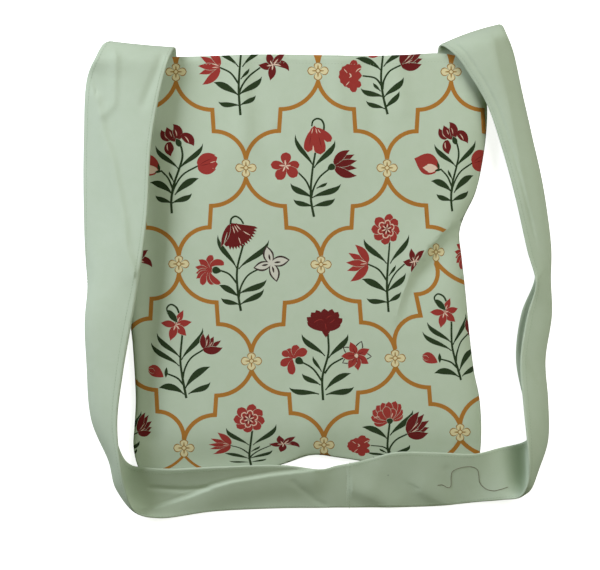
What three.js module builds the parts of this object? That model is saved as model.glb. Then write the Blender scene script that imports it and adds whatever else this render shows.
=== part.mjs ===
// A cotton messenger bag, lying on its back with its long shoulder strap laid round it.
// Two printed cotton panels are sewn together along the sides and the base and stay open at the mouth.
// The strap is two lengths of doubled cotton that meet at mid-length. Each sewn end goes into a corner
// of the mouth, folds forward over it, and runs down beside the bag to turn under and cross below the base.
// Millimetres. X runs across the bag, Y from its base to its mouth, Z up from the table it lies on.
import * as THREE from "three";

// Driving dimensions of the cloth
const cloth = { panelWall: 1.6, hemWall: 2.6, hemDepth: 10, strapWall: 2, clearance: 0.3 };

// The lying bag: where its seam lies, how far the front stands above it, and how wide the edges round over
const loft = {
  seamHeight: 7,
  front: 8.5,
  frontRoll: 24,
  baseRoll: 42,
  backRoll: 15,
  mouthShare: 0.84,
  mouthReach: 120,
};

// How finely each piece is faceted
const facets = {
  frontAcross: 32,
  frontUp: 32,
  backAcross: 18,
  backUp: 20,
  strapAcross: 8,
  strapStepsPerRow: 3,
};

const finish = {
  printedCotton: { color: 0xbccbb2, roughness: 0.9, metalness: 0 },
  plainCotton: { color: 0xb4c6ae, roughness: 0.9, metalness: 0 },
};

// The two side edges of both panels, from the base (up 0) to the mouth (up 1).
// The right side is nipped in where a fold runs in from it.
const sideEdges = [
  { up: 0.0, left: -177, right: 162 },
  { up: 0.03, left: -181, right: 164.5 },
  { up: 0.065, left: -183, right: 165.5 },
  { up: 0.11, left: -181.8, right: 165.5 },
  { up: 0.17, left: -180.6, right: 163.5 },
  { up: 0.23, left: -181.6, right: 158.5 },
  { up: 0.31, left: -183.8, right: 154.5 },
  { up: 0.36, left: -186, right: 152.5 },
  { up: 0.44, left: -186.5, right: 149.5 },
  { up: 0.53, left: -186.5, right: 145.5 },
  { up: 0.58, left: -186.5, right: 143.5 },
  { up: 0.62, left: -186.5, right: 148 },
  { up: 0.68, left: -186.5, right: 159.5 },
  { up: 0.77, left: -187, right: 167.5 },
  { up: 0.87, left: -187.5, right: 171.5 },
  { up: 1.0, left: -188, right: 170 },
];

// The base and the mouth of both panels, from the left side (across 0) to the right (across 1).
const baseAndMouth = [
  { across: 0.0, base: -200, mouth: 213 },
  { across: 0.19, base: -203, mouth: 214.5 },
  { across: 0.36, base: -199, mouth: 216.5 },
  { across: 0.43, base: -193, mouth: 216.5 },
  { across: 0.51, base: -184.3, mouth: 216 },
  { across: 0.59, base: -187, mouth: 215.5 },
  { across: 0.66, base: -190.5, mouth: 215 },
  { across: 0.77, base: -195, mouth: 216 },
  { across: 0.87, base: -196, mouth: 217.5 },
  { across: 0.94, base: -195, mouth: 213 },
  { across: 1.0, base: -193, mouth: 205 },
];

// Soft folds of the front panel: each runs from one place to another, raised or sunk by its height.
const frontFolds = [
  { name: "slack crest", fromX: 139, fromY: 61, toX: 79, toY: -39, height: 2.6, width: 15 },
  { name: "slack hollow", fromX: 150, fromY: 43, toX: 96, toY: -47, height: -3.4, width: 13 },
  { name: "left pucker", fromX: -75, fromY: 211, toX: -72, toY: 131, height: 1.6, width: 9 },
  { name: "middle pucker", fromX: 22, fromY: 211, toX: 24, toY: 151, height: 1.4, width: 9 },
  { name: "right pucker", fromX: 82, fromY: 211, toX: 86, toY: 161, height: 1.5, width: 8 },
  { name: "side hollow", fromX: -168, fromY: 128, toX: -166, toY: -165, height: -4.5, width: 15 },
  { name: "base swell", fromX: -4, fromY: -180, toX: 2, toY: -129, height: 2, width: 18 },
];

// Sections of the strap's left length, each by the places [x, y, z] of its inner edge, middle and outer edge.
const leftStrap = [
  { at: "sewn end", inner: [-140, 173, 8.5], middle: [-161, 173, 8], outer: [-180, 173, 6.8] },
  { at: "mouth", inner: [-139.5, 210, 8.5], middle: [-161, 211, 8], outer: [-180, 212, 6.8] },
  { at: "crest", inner: [-140.5, 222.5, 16], middle: [-174.5, 225, 18], outer: [-208.5, 228.5, 17] },
  { at: "over mouth", inner: [-146, 211, 26.5], middle: [-183, 211, 26], outer: [-220.5, 211, 22] },
  { at: "shoulder", inner: [-153, 186, 29], middle: [-190, 189, 25], outer: [-228.5, 193, 14] },
  { at: "upper side", inner: [-163.6, 126, 32], middle: [-198, 129, 22], outer: [-232.5, 133, 5] },
  { at: "middle side", inner: [-167.6, 56, 33], middle: [-201, 60, 20], outer: [-232.8, 64, 3] },
  { at: "curl starts", inner: [-174.6, -1, 33.5], middle: [-212, 1, 21.5], outer: [-230, 5, 3] },
  { at: "curling", inner: [-183.2, -53, 34.5], middle: [-226, -49, 22], outer: [-222, -43, 2.5] },
  { at: "half under", inner: [-191.3, -100, 35.5], middle: [-227.2, -98, 21], outer: [-208, -91, 2] },
  { at: "rolled", inner: [-197, -149, 37], middle: [-223, -149, 20], outer: [-203, -155, 2] },
  { at: "above corner", inner: [-194.5, -187, 37], middle: [-206, -190, 18], outer: [-194, -186, 2] },
  { at: "corner", inner: [-190, -214, 31], middle: [-194, -215, 14], outer: [-185.5, -194, 6] },
  { at: "past corner", inner: [-178, -237, 20], middle: [-175, -225, 7], outer: [-168, -196.5, 14] },
  { at: "crossing", inner: [-158, -246.3, 9], middle: [-152, -223, 6], outer: [-146, -197.5, 16] },
  { at: "over base", inner: [-101, -241, 2], middle: [-100, -220, 6.5], outer: [-99, -195.5, 17] },
  { at: "off base", inner: [-36, -238, 2], middle: [-35, -217, 6.5], outer: [-34, -194, 15] },
  { at: "slack", inner: [6, -237.5, 2], middle: [6, -219, 7], outer: [6, -198, 13] },
  { at: "beside seam", inner: [20, -237.2, 2], middle: [20, -218, 7.6], outer: [20, -194.6, 13.5] },
  { at: "joining seam", inner: [30.6, -237.2, 2], middle: [30.6, -217, 8], outer: [30.6, -192.6, 14] },
];

// Sections of the strap's right length, from the joining seam to its sewn end.
const rightStrap = [
  { at: "joining seam", inner: [31, -237.2, 2], middle: [31, -217, 8], outer: [31, -192.6, 14] },
  { at: "beside seam", inner: [39, -237.2, 2], middle: [39.1, -216.2, 8.3], outer: [39.3, -191, 14.4] },
  { at: "climbing", inner: [54, -237, 2], middle: [55, -213, 10], outer: [55, -187, 15] },
  { at: "onto base", inner: [77, -237, 2], middle: [78, -210, 10], outer: [78, -181, 18] },
  { at: "over base", inner: [122, -235.5, 2], middle: [122, -210, 11], outer: [122, -181, 18] },
  { at: "bag corner", inner: [162, -231.5, 5], middle: [161, -207, 9.5], outer: [159, -182.5, 15.5] },
  { at: "off base", inner: [187, -229, 11], middle: [187, -203, 9], outer: [184, -177, 8] },
  { at: "before corner", inner: [202, -224.5, 20], middle: [205, -202, 3.5], outer: [199, -173.5, 2.5] },
  { at: "corner", inner: [210, -211, 31], middle: [215, -212, 14], outer: [210, -169, 2] },
  { at: "above corner", inner: [211, -193, 36], middle: [222.5, -194, 18], outer: [215, -161, 2] },
  { at: "rolled", inner: [209, -169, 36], middle: [230.5, -170, 18], outer: [215, -149, 2] },
  { at: "doubled", inner: [205.5, -129, 30], middle: [231, -130, 15], outer: [207, -123, 2] },
  { at: "bowed in", inner: [203, -91, 25], middle: [228.5, -89, 13], outer: [200.5, -87, 3] },
  { at: "bowed out", inner: [210, -45, 22], middle: [235, -43, 12], outer: [206, -42, 3] },
  { at: "pinch", inner: [218.5, -13, 23], middle: [234, -11, 13], outer: [219, -9, 3] },
  { at: "opening", inner: [210, 21, 24], middle: [233.5, 24, 16], outer: [222, 31, 2.5] },
  { at: "middle side", inner: [198.5, 71, 26], middle: [224, 75, 21], outer: [224, 83, 3] },
  { at: "upper side", inner: [184.5, 123, 26], middle: [209, 130, 24], outer: [215, 137, 4] },
  { at: "shoulder", inner: [170, 166, 25], middle: [193, 175, 28], outer: [205, 183, 8] },
  { at: "over mouth", inner: [153, 195, 25], middle: [177, 209, 32], outer: [197, 217, 18] },
  { at: "near crest", inner: [139, 214.5, 24], middle: [165, 228, 31], outer: [190, 234, 26] },
  { at: "crest", inner: [124, 225, 16], middle: [154, 237.2, 18], outer: [184, 245.5, 18] },
  { at: "under crest", inner: [121.5, 217.5, 9.2], middle: [147, 221, 9], outer: [170, 225, 8] },
  { at: "mouth", inner: [121, 209, 8.9], middle: [143, 208, 8.2], outer: [162, 206, 6.8] },
  { at: "sewn end", inner: [121, 173, 8.7], middle: [143, 173, 8.2], outer: [163, 173, 6.8] },
];

// A smooth function through one column of a table, keyed by another column.
function smoothColumn(rows, key, column) {
  const slopeAt = (i) => {
    const before = rows[Math.max(i - 1, 0)];
    const after = rows[Math.min(i + 1, rows.length - 1)];
    return (after[column] - before[column]) / (after[key] - before[key]);
  };
  return (at) => {
    const next = rows.findIndex((row) => row[key] >= at);
    const i = Math.max((next < 0 ? rows.length - 1 : next) - 1, 0);
    const span = rows[i + 1][key] - rows[i][key];
    const t = (at - rows[i][key]) / span;
    const rise = rows[i + 1][column] - rows[i][column];
    const lead = slopeAt(i) * span;
    const trail = slopeAt(i + 1) * span;
    return rows[i][column] + t * (lead + t * (3 * rise - 2 * lead - trail + t * (lead + trail - 2 * rise)));
  };
}

const leftSide = smoothColumn(sideEdges, "up", "left");
const rightSide = smoothColumn(sideEdges, "up", "right");
const baseLine = smoothColumn(baseAndMouth, "across", "base");
const mouthLine = smoothColumn(baseAndMouth, "across", "mouth");

// The place in plan of a panel point, and how far it has come up the rounded edges, from 0 to 1.
function panelPlan(across, up, roll, baseRoll) {
  const left = leftSide(up);
  const right = rightSide(up);
  const base = baseLine(across);
  const x = THREE.MathUtils.lerp(left, right, across);
  const y = THREE.MathUtils.lerp(base, mouthLine(across), up);
  const rounded = (share) => Math.sqrt(1 - (1 - THREE.MathUtils.clamp(share, 0, 1)) ** 2);
  const rise = rounded((x - left) / roll) * rounded((right - x) / roll) * rounded((y - base) / baseRoll);
  return { x, y, rise };
}

// The height that the front's folds add at a place.
function foldHeight(x, y) {
  const place = new THREE.Vector3(x, y, 0);
  const nearest = new THREE.Vector3();
  return frontFolds.reduce((sum, fold) => {
    const line = new THREE.Line3(
      new THREE.Vector3(fold.fromX, fold.fromY, 0),
      new THREE.Vector3(fold.toX, fold.toY, 0),
    );
    line.closestPointToPoint(place, true, nearest);
    return sum + fold.height * Math.exp(-((place.distanceTo(nearest) / fold.width) ** 2));
  }, 0);
}

// The outer face of the front panel: up from the seam round the edges, a little lower towards the mouth.
function frontFace(across, up) {
  const { x, y, rise } = panelPlan(across, up, loft.frontRoll, loft.baseRoll);
  const fromMouth = THREE.MathUtils.smoothstep(mouthLine(across) - y, 0, loft.mouthReach);
  const height = loft.front * THREE.MathUtils.lerp(loft.mouthShare, 1, fromMouth);
  return new THREE.Vector3(x, y, loft.seamHeight + cloth.clearance / 2 + rise * (height + foldHeight(x, y)));
}

// The outer face of the back panel: flat on the table, turned up to the seam at its edges.
function backFace(across, up) {
  const { x, y, rise } = panelPlan(across, up, loft.backRoll, loft.backRoll);
  return new THREE.Vector3(x, y, (loft.seamHeight - cloth.clearance / 2) * (1 - rise));
}

// The unit normal of a surface, on the side that its two parameters turn to.
function normalOf(surface, u, v) {
  const step = 0.002;
  const before = (share) => Math.max(share - step, 0);
  const after = (share) => Math.min(share + step, 1);
  const alongU = surface(after(u), v).sub(surface(before(u), v));
  const alongV = surface(u, after(v)).sub(surface(u, before(v)));
  return alongU.cross(alongV).normalize();
}

// A closed solid between two grids of the same size, the top one facing the way its rows turn to its columns.
function slab(top, bottom) {
  const rows = top.length;
  const columns = top[0].length;
  const last = columns - 1;
  const position = [...top.flat(), ...bottom.flat()].flatMap((p) => [p.x, p.y, p.z]);
  const index = [];
  const topAt = (i, j) => i * columns + j;
  const bottomAt = (i, j) => rows * columns + topAt(i, j);
  const quad = (a, b, c, d) => index.push(a, b, c, a, c, d);
  for (let i = 0; i + 1 < rows; i++) {
    for (let j = 0; j + 1 < columns; j++) {
      quad(topAt(i, j), topAt(i + 1, j), topAt(i + 1, j + 1), topAt(i, j + 1));
      quad(bottomAt(i, j), bottomAt(i, j + 1), bottomAt(i + 1, j + 1), bottomAt(i + 1, j));
    }
    quad(topAt(i, 0), bottomAt(i, 0), bottomAt(i + 1, 0), topAt(i + 1, 0));
    quad(topAt(i + 1, last), bottomAt(i + 1, last), bottomAt(i, last), topAt(i, last));
  }
  for (let j = 0; j + 1 < columns; j++) {
    quad(topAt(0, j + 1), bottomAt(0, j + 1), bottomAt(0, j), topAt(0, j));
    quad(topAt(rows - 1, j), bottomAt(rows - 1, j), bottomAt(rows - 1, j + 1), topAt(rows - 1, j + 1));
  }
  const geometry = new THREE.BufferGeometry();
  geometry.setAttribute("position", new THREE.Float32BufferAttribute(position, 3));
  geometry.setIndex(index);
  geometry.computeVertexNormals();
  return geometry;
}

// Evenly stepped shares from 0 to 1, drawn together towards the ends that are rounded.
function stations(count, roundedStart, roundedEnd) {
  const closeness = 0.75;
  return Array.from({ length: count + 1 }, (_, i) => {
    const even = i / count;
    const start = roundedStart ? 0 : 0.5;
    const end = roundedEnd ? 1 : 0.5;
    const wave = (at) => (1 - Math.cos(Math.PI * at)) / 2;
    const eased = (wave(start + (end - start) * even) - wave(start)) / (wave(end) - wave(start));
    return THREE.MathUtils.lerp(even, eased, closeness);
  });
}

// The cloth's thickness: doubled where the mouth edge is turned in as a hem.
function wallAt(across, y) {
  return mouthLine(across) - y < cloth.hemDepth ? cloth.hemWall : cloth.panelWall;
}

function frontPanel() {
  const seam = loft.seamHeight + cloth.clearance / 2;
  const outer = [];
  const inner = [];
  for (const across of stations(facets.frontAcross, true, true)) {
    const ups = stations(facets.frontUp, true, false);
    outer.push(ups.map((up) => frontFace(across, up)));
    inner.push(
      ups.map((up) => {
        const face = frontFace(across, up);
        const depth = wallAt(across, face.y);
        const inside = face.addScaledVector(normalOf(frontFace, across, up), -depth);
        inside.z = Math.max(inside.z, seam);
        return inside;
      }),
    );
  }
  return slab(outer, inner);
}

function backPanel() {
  const seam = loft.seamHeight - cloth.clearance / 2;
  const outer = [];
  const inner = [];
  for (const across of stations(facets.backAcross, true, true)) {
    const ups = stations(facets.backUp, true, false);
    outer.push(ups.map((up) => backFace(across, up)));
    inner.push(
      ups.map((up) => {
        const face = backFace(across, up);
        const depth = wallAt(across, face.y);
        const inside = face.addScaledVector(normalOf(backFace, across, up), depth);
        inside.z = Math.min(inside.z, seam);
        return inside;
      }),
    );
  }
  return slab(inner, outer);
}

// The middle surface of a strap: smooth lines through the table's edges and middles, and across them
// at each place the parabola through the three, so that a section may lie flat, bow or double back.
function strapSurface(rows) {
  const guide = (name) => new THREE.CatmullRomCurve3(rows.map((row) => new THREE.Vector3(...row[name])));
  const inner = guide("inner");
  const middle = guide("middle");
  const outer = guide("outer");
  return (along, across) => {
    const a = inner.getPoint(along);
    const m = middle.getPoint(along);
    const b = outer.getPoint(along);
    const u = 2 * across - 1;
    const bow = a.clone().add(b).multiplyScalar(0.5).sub(m);
    return m.addScaledVector(b.sub(a), u / 2).addScaledVector(bow, u * u);
  };
}

function strapLength(rows) {
  const surface = strapSurface(rows);
  const steps = (rows.length - 1) * facets.strapStepsPerRow;
  const top = [];
  const bottom = [];
  for (let i = 0; i <= steps; i++) {
    const topRow = [];
    const bottomRow = [];
    for (let j = 0; j <= facets.strapAcross; j++) {
      const along = i / steps;
      const across = j / facets.strapAcross;
      const place = surface(along, across);
      const normal = normalOf(surface, along, across);
      topRow.push(place.clone().addScaledVector(normal, cloth.strapWall / 2));
      bottomRow.push(place.addScaledVector(normal, -cloth.strapWall / 2));
    }
    top.push(topRow);
    bottom.push(bottomRow);
  }
  return slab(top, bottom);
}

const bag = new THREE.Group();
bag.name = "cotton_messenger_bag";

function addPiece(name, geometry, look) {
  const piece = new THREE.Mesh(geometry, new THREE.MeshStandardMaterial(look));
  piece.name = name;
  bag.add(piece);
}

addPiece("front_panel", frontPanel(), finish.printedCotton);
addPiece("back_panel", backPanel(), finish.printedCotton);
addPiece("strap_left", strapLength(leftStrap), finish.plainCotton);
addPiece("strap_right", strapLength(rightStrap), finish.plainCotton);

// The origin is on the table, under the middle of everything that lies on it.
const extent = new THREE.Box3().setFromObject(bag);
const middle = extent.getCenter(new THREE.Vector3());
bag.children.forEach((piece) => piece.position.set(-middle.x, -middle.y, -extent.min.z));

export default bag;
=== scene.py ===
import math

import bpy
import numpy as np
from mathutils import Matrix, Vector
from mathutils.bvhtree import BVHTree
from mathutils.geometry import delaunay_2d_cdt


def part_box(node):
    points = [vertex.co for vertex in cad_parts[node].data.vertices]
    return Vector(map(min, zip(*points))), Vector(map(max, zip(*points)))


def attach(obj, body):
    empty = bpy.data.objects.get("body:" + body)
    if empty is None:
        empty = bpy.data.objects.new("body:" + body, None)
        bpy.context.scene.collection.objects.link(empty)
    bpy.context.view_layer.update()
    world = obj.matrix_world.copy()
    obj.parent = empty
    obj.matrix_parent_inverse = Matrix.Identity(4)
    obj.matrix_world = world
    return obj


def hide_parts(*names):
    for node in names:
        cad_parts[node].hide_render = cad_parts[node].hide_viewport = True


# Cotton messenger bag lying on its back, its long strap laid round it.
# Tables are in millimetres from the middle of the bag: x runs across, y from the base to the mouth, z up.
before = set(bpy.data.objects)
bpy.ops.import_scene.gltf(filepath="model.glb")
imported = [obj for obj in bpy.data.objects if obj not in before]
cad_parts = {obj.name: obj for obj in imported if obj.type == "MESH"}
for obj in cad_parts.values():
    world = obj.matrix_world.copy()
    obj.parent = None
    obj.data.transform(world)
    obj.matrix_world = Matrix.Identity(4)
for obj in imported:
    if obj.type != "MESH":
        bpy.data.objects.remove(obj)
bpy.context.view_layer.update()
mm = 0.001
print("loaded", sorted(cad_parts))


def linear(hexCode):
    channels = [int(hexCode[i:i + 2], 16) / 255 for i in (0, 2, 4)]
    return tuple(c / 12.92 if c <= 0.04045 else ((c + 0.055) / 1.055) ** 2.4 for c in channels)


def smoothColumn(rows, column):  # a smooth function through one column of a table, by the first one
    keys, values = (np.array([row[k] for row in rows], float) for k in (0, column))
    last = len(rows) - 1
    each = np.arange(last + 1)
    before, after = np.maximum(each - 1, 0), np.minimum(each + 1, last)
    slopes = (values[after] - values[before]) / (keys[after] - keys[before])

    def at(where):
        i = np.clip(np.searchsorted(keys, where) - 1, 0, last - 1)
        span = keys[i + 1] - keys[i]
        t = (where - keys[i]) / span
        rise, lead, trail = values[i + 1] - values[i], slopes[i] * span, slopes[i + 1] * span
        return values[i] + t * (lead + t * (3 * rise - 2 * lead - trail + t * (lead + trail - 2 * rise)))

    return at


def smoothLine(points):  # a curve through points that doesn't overshoot, by a share from 0 to 1
    knots = np.array(points, float)
    knots = np.vstack((2 * knots[0] - knots[1], knots, 2 * knots[-1] - knots[-2]))
    gaps = np.sqrt(np.linalg.norm(np.diff(knots, axis=0), axis=1))

    def at(share):
        place = np.clip(np.asarray(share, float), 0, 1) * (len(points) - 1)
        i = np.minimum(place.astype(int), len(points) - 2)
        t = (place - i)[:, None]
        p0, p1, p2, p3 = (knots[i + k] for k in range(4))
        g0, g1, g2 = (gaps[i + k][:, None] for k in range(3))
        lead = ((p1 - p0) / g0 - (p2 - p0) / (g0 + g1) + (p2 - p1) / g1) * g1
        trail = ((p2 - p1) / g1 - (p3 - p1) / (g1 + g2) + (p3 - p2) / g2) * g1
        rise = p2 - p1
        return p1 + t * (lead + t * (3 * rise - 2 * lead - trail + t * (lead + trail - 2 * rise)))

    return at


def segmentDistance(x, y, start, end):  # from each place to a straight line, and how far along it, 0 to 1
    dx, dy = end[0] - start[0], end[1] - start[1]
    along = np.clip(((x - start[0]) * dx + (y - start[1]) * dy) / (dx * dx + dy * dy), 0, 1)
    return np.hypot(x - start[0] - along * dx, y - start[1] - along * dy), along


def addObject(name, data):
    made = bpy.data.objects.new(name, data)
    bpy.context.scene.collection.objects.link(made)
    return made


def newPiece(name, vertices, faces, finish):
    mesh = bpy.data.meshes.new(name)
    mesh.from_pydata((np.asarray(vertices) * mm).tolist(), [], faces)
    mesh.materials.append(finish)
    mesh.shade_smooth()
    return addObject(name, mesh)


def chain(start, count):  # edges that join points one after the other
    return [(start + k, start + k + 1) for k in range(count - 1)]


def sewOn(piece, node=None):  # every piece goes with the bag's one body
    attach(piece, "root")
    if node:
        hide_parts(node)


# Finishes

def addNode(tree, kind, settings, inputs):  # its settings first, then the values or links of its sockets
    made = tree.nodes.new(kind)
    for key, value in settings.items():
        setattr(made, key, value)
    for key, value in inputs.items():
        if isinstance(value, bpy.types.NodeSocket):
            tree.links.new(value, made.inputs[key])
        else:
            made.inputs[key].default_value = value
    return made


class Signal:  # a shader socket that can stand in a sum
    def __init__(self, maker, socket):
        self.maker, self.socket = maker, socket

    def worked(self, operation, first, second=0.0):
        return self.maker.signal("ShaderNodeMath", {"operation": operation}, {0: first, 1: second})

    def __add__(self, other):
        return self.worked("ADD", self, other)

    def __mul__(self, other):
        return self.worked("MULTIPLY", self, other)

    def sine(self):
        return self.worked("SINE", self)

    __radd__, __rmul__ = __add__, __mul__


class Finish:  # one material and its nodes
    def __init__(self, name):
        self.material = bpy.data.materials.new(name)
        self.material.use_nodes = True
        self.tree = self.material.node_tree
        self.tree.nodes.clear()

    def node(self, kind, settings, inputs):
        plain = {key: value.socket if isinstance(value, Signal) else value for key, value in inputs.items()}
        return addNode(self.tree, kind, settings, plain)

    def signal(self, kind, settings, inputs, output=0):
        return Signal(self, self.node(kind, settings, inputs).outputs[output])

    def blendColours(self, share, first, second, mode="MIX"):
        settings = {"data_type": "RGBA", "blend_type": mode}
        return self.signal("ShaderNodeMix", settings, {0: share, 6: first, 7: second}, 2)

    def noise(self, place, scale, detail, roughness=0.5):
        inputs = {"Vector": place, "Scale": scale, "Detail": detail, "Roughness": roughness}
        return self.signal("ShaderNodeTexNoise", {}, inputs)

    def surface(self, sockets):
        shader = self.signal("ShaderNodeBsdfPrincipled", {}, sockets)
        self.node("ShaderNodeOutputMaterial", {}, {"Surface": shader})
        return self.material


cotton = {
    "dye": "b3c4a7", "dyeFaded": "c3d0bb",                    # sage
    "paintedPanelLight": 1.07,                                    # painted light: the printed panel's cloth is a little lighter, to stand in for more light on the panel
    "threadPitch": 0.62,                                      # mm from one yarn to the next
    "weaveHeight": 0.10, "bump": 0.35,                        # mm, and how much of it shows
    "slubSize": 14, "slubDetail": 3.0, "slubRoughness": 0.6,  # mm, soft unevenness of the dye
    "yarnScale": 1400.0,                                      # specks to the metre
    "fading": {"slubs": 0.55, "yarn": 0.3, "weave": 0.06},    # what lightens the dye
    "relief": {"weave": 0.5, "yarn": 0.5},                    # what raises the cloth
    "inkCover": 0.96, "inkSpecks": 0.08,
    "roughness": 0.88, "roughnessSpread": 0.08,
    "sheen": 0.05, "sheenRoughness": 0.5, "specular": 0.25,
}


def cottonFinish(name, printed=False, marks=()):
    finish = Finish(name)
    if printed:
        place = finish.signal("ShaderNodeTexCoord", {}, {}, "Object")
    else:
        place = finish.signal("ShaderNodeUVMap", {"uv_map": "weave"}, {})
    split = finish.node("ShaderNodeSeparateXYZ", {}, {0: place})
    across, along = (Signal(finish, split.outputs[k]) for k in (0, 1))
    pitch = 2 * math.pi / (cotton["threadPitch"] * mm)
    weave = (across * pitch).sine() * (along * pitch).sine()
    slubs = finish.noise(place, 1 / (cotton["slubSize"] * mm), cotton["slubDetail"], cotton["slubRoughness"])
    yarn = finish.noise(place, cotton["yarnScale"], 1.0)
    fading = cotton["fading"]
    fade = slubs * fading["slubs"] + yarn * fading["yarn"] + weave * fading["weave"]
    # painted light: the printed panel's cloth is lightened, standing in for more light falling on it
    paintedLight = cotton["paintedPanelLight"] if printed else 1
    dye, faded = (tuple(c * paintedLight for c in linear(cotton[key])) + (1,) for key in ("dye", "dyeFaded"))
    colour = finish.blendColours(fade, dye, faded)
    if printed:
        ink = finish.node("ShaderNodeAttribute", {"attribute_name": "ink"}, {})
        inkColour, cover = Signal(finish, ink.outputs["Color"]), Signal(finish, ink.outputs["Alpha"])
        cover = cover * (cotton["inkCover"] + yarn * cotton["inkSpecks"])
        colour = finish.blendColours(cover, colour, inkColour)
    for mark in marks:  # a small dark fleck that is caught in the cloth
        spot = finish.signal("ShaderNodeVectorMath", {"operation": "DISTANCE"},
                             {0: finish.signal("ShaderNodeTexCoord", {}, {}, "Object"), 1: mark["at"]}, 1)
        inside = finish.signal("ShaderNodeMapRange", {"interpolation_type": "SMOOTHSTEP"},
                               {0: spot, 1: mark["radius"], 2: mark["radius"] * mark["core"]})
        colour = finish.blendColours(inside * mark["strength"], colour, linear(mark["colour"]) + (1,))
    relief = weave * cotton["relief"]["weave"] + yarn * cotton["relief"]["yarn"]
    bump = finish.signal("ShaderNodeBump", {}, {
        "Strength": cotton["bump"], "Distance": cotton["weaveHeight"] * mm, "Height": relief})
    return finish.surface({
        "Base Color": colour, "Roughness": cotton["roughness"] + slubs * cotton["roughnessSpread"],
        "Normal": bump, "Sheen Weight": cotton["sheen"], "Sheen Roughness": cotton["sheenRoughness"],
        "Specular IOR Level": cotton["specular"]})


sewingThread = {
    "twist": 2600.0, "shades": (0.8, 1.15), "roughness": 0.7, "roughnessSpread": 0.1, "sheen": 0.1,
}


def threadFinish(name, hexCode):
    finish = Finish(name)
    place = finish.signal("ShaderNodeTexCoord", {}, {}, "Object")
    twist = finish.noise(place, sewingThread["twist"], 1.0)
    dark, light = (tuple(c * shade for c in linear(hexCode)) + (1,) for shade in sewingThread["shades"])
    colour = finish.blendColours(twist, dark, light)
    roughness = sewingThread["roughness"] + twist * sewingThread["roughnessSpread"]
    return finish.surface({
        "Base Color": colour, "Roughness": roughness, "Sheen Weight": sewingThread["sheen"]})


printedCotton = cottonFinish("printedCotton", printed=True)
backCotton = cottonFinish("backCotton")
sageThread = threadFinish("sageThread", "a9bb9e")
khakiThread = threadFinish("khakiThread", "6e6450")
print("finishes made")

# The two panels: outline, loft and folds

panels = {
    "seamHeight": 7, "seamGap": 0.06, "front": 8.5, "frontRoll": 24, "baseRoll": 50, "backRoll": 15,
    "mouthShare": 0.84, "mouthReach": 120, "wall": 1.6, "hemWall": 2.6, "hemDepth": 10, "hemStep": 1.2,
    # share of the way up, left side, right side
    "sides": [
        (0.0, -177, 162), (0.03, -181, 164.5), (0.065, -183, 165.5), (0.11, -181.8, 165.5),
        (0.17, -180.6, 163.5), (0.23, -181.6, 158.5), (0.31, -183.8, 154.5), (0.36, -186, 152.5),
        (0.44, -186.5, 149.5), (0.53, -186.5, 145.5), (0.58, -186.5, 143.5), (0.62, -186.5, 148),
        (0.68, -186.5, 159.5), (0.77, -187, 167.5), (0.87, -187.5, 171.5), (1.0, -188, 170),
    ],
    # share of the way across, base, mouth
    "ends": [
        (0.0, -200, 213), (0.19, -203, 214.5), (0.36, -199, 216.5), (0.43, -193, 216.5),
        (0.51, -184.3, 216), (0.59, -187, 215.5), (0.66, -190.5, 215), (0.77, -195, 216),
        (0.87, -196, 217.5), (0.94, -195, 213), (1.0, -193, 205),
    ],
    # soft folds of the front: from, to, how high, how wide
    "folds": [
        ((-75, 211), (-72, 131), 1.6, 9), ((22, 211), (24, 151), 1.4, 9), ((82, 211), (86, 161), 1.5, 8),
        ((-168, 128), (-166, -165), -4.5, 15), ((-4, -180), (2, -129), 2.0, 18),
        ((-60, 190), (-48, 100), -0.9, 12), ((52, 205), (58, 140), -1.0, 8),
        ((-20, -150), (-60, -60), -0.8, 22), ((110, -120), (60, -40), 0.9, 20),
        ((-120, 20), (-90, 110), 0.8, 20), ((10, 20), (50, 90), -0.7, 24),
        ((-175, -202), (155, -196), -6.5, 26),
    ],
    # the slack pleat that runs in from the right: its line, the crest before it and the hollow behind it
    "pleat": {
        "line": [(156, 60), (143, 51), (126, 38), (113, 25), (102, 9), (94, -3), (86, -24), (80, -46),
                 (77, -60)],
        "crest": 2.6, "crestWidth": 17, "hollow": 3.8, "hollowWidth": 24, "drop": 5.0, "fade": 0.55,
    },
}
leftSide, rightSide = (smoothColumn(panels["sides"], side) for side in (1, 2))
baseLine, mouthLine = (smoothColumn(panels["ends"], end) for end in (1, 2))


def panelPlace(x, y):  # where a place in plan is on the panel: shares across and up
    across, up = np.full(np.shape(x), 0.5), np.full(np.shape(y), 0.5)
    for _ in range(16):  # each share moves the other, so they settle in turns
        base = baseLine(across)
        up = np.clip((y - base) / (mouthLine(across) - base), 0, 1)
        left = leftSide(up)
        across = np.clip((x - left) / (rightSide(up) - left), 0, 1)
    return across, up


def panelPlan(across, up):
    left, base = leftSide(up), baseLine(across)
    return left + (rightSide(up) - left) * across, base + (mouthLine(across) - base) * up


def edgeRise(x, y, across, up, roll, baseRoll):  # from 0 on the seam to 1 where the panel lies flat
    def rounded(share):
        return np.sqrt(1 - (1 - np.clip(share, 0, 1)) ** 2)

    sides = rounded((x - leftSide(up)) / roll) * rounded((rightSide(up) - x) / roll)
    return sides * rounded((y - baseLine(across)) / baseRoll)


def lineSide(x, y, line):  # distance to a bent line, above zero on its left, and the share along it
    near, share, side = np.full(np.shape(x), 1e9), np.zeros(np.shape(x)), np.ones(np.shape(x))
    for k, (start, end) in enumerate(zip(line, line[1:])):
        distance, along = segmentDistance(x, y, start, end)
        turned = (end[0] - start[0]) * (y - start[1]) - (end[1] - start[1]) * (x - start[0])
        closer = distance < near
        near = np.where(closer, distance, near)
        share = np.where(closer, (k + along) / (len(line) - 1), share)
        side = np.where(closer, np.sign(turned), side)
    return near * side, share


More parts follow.
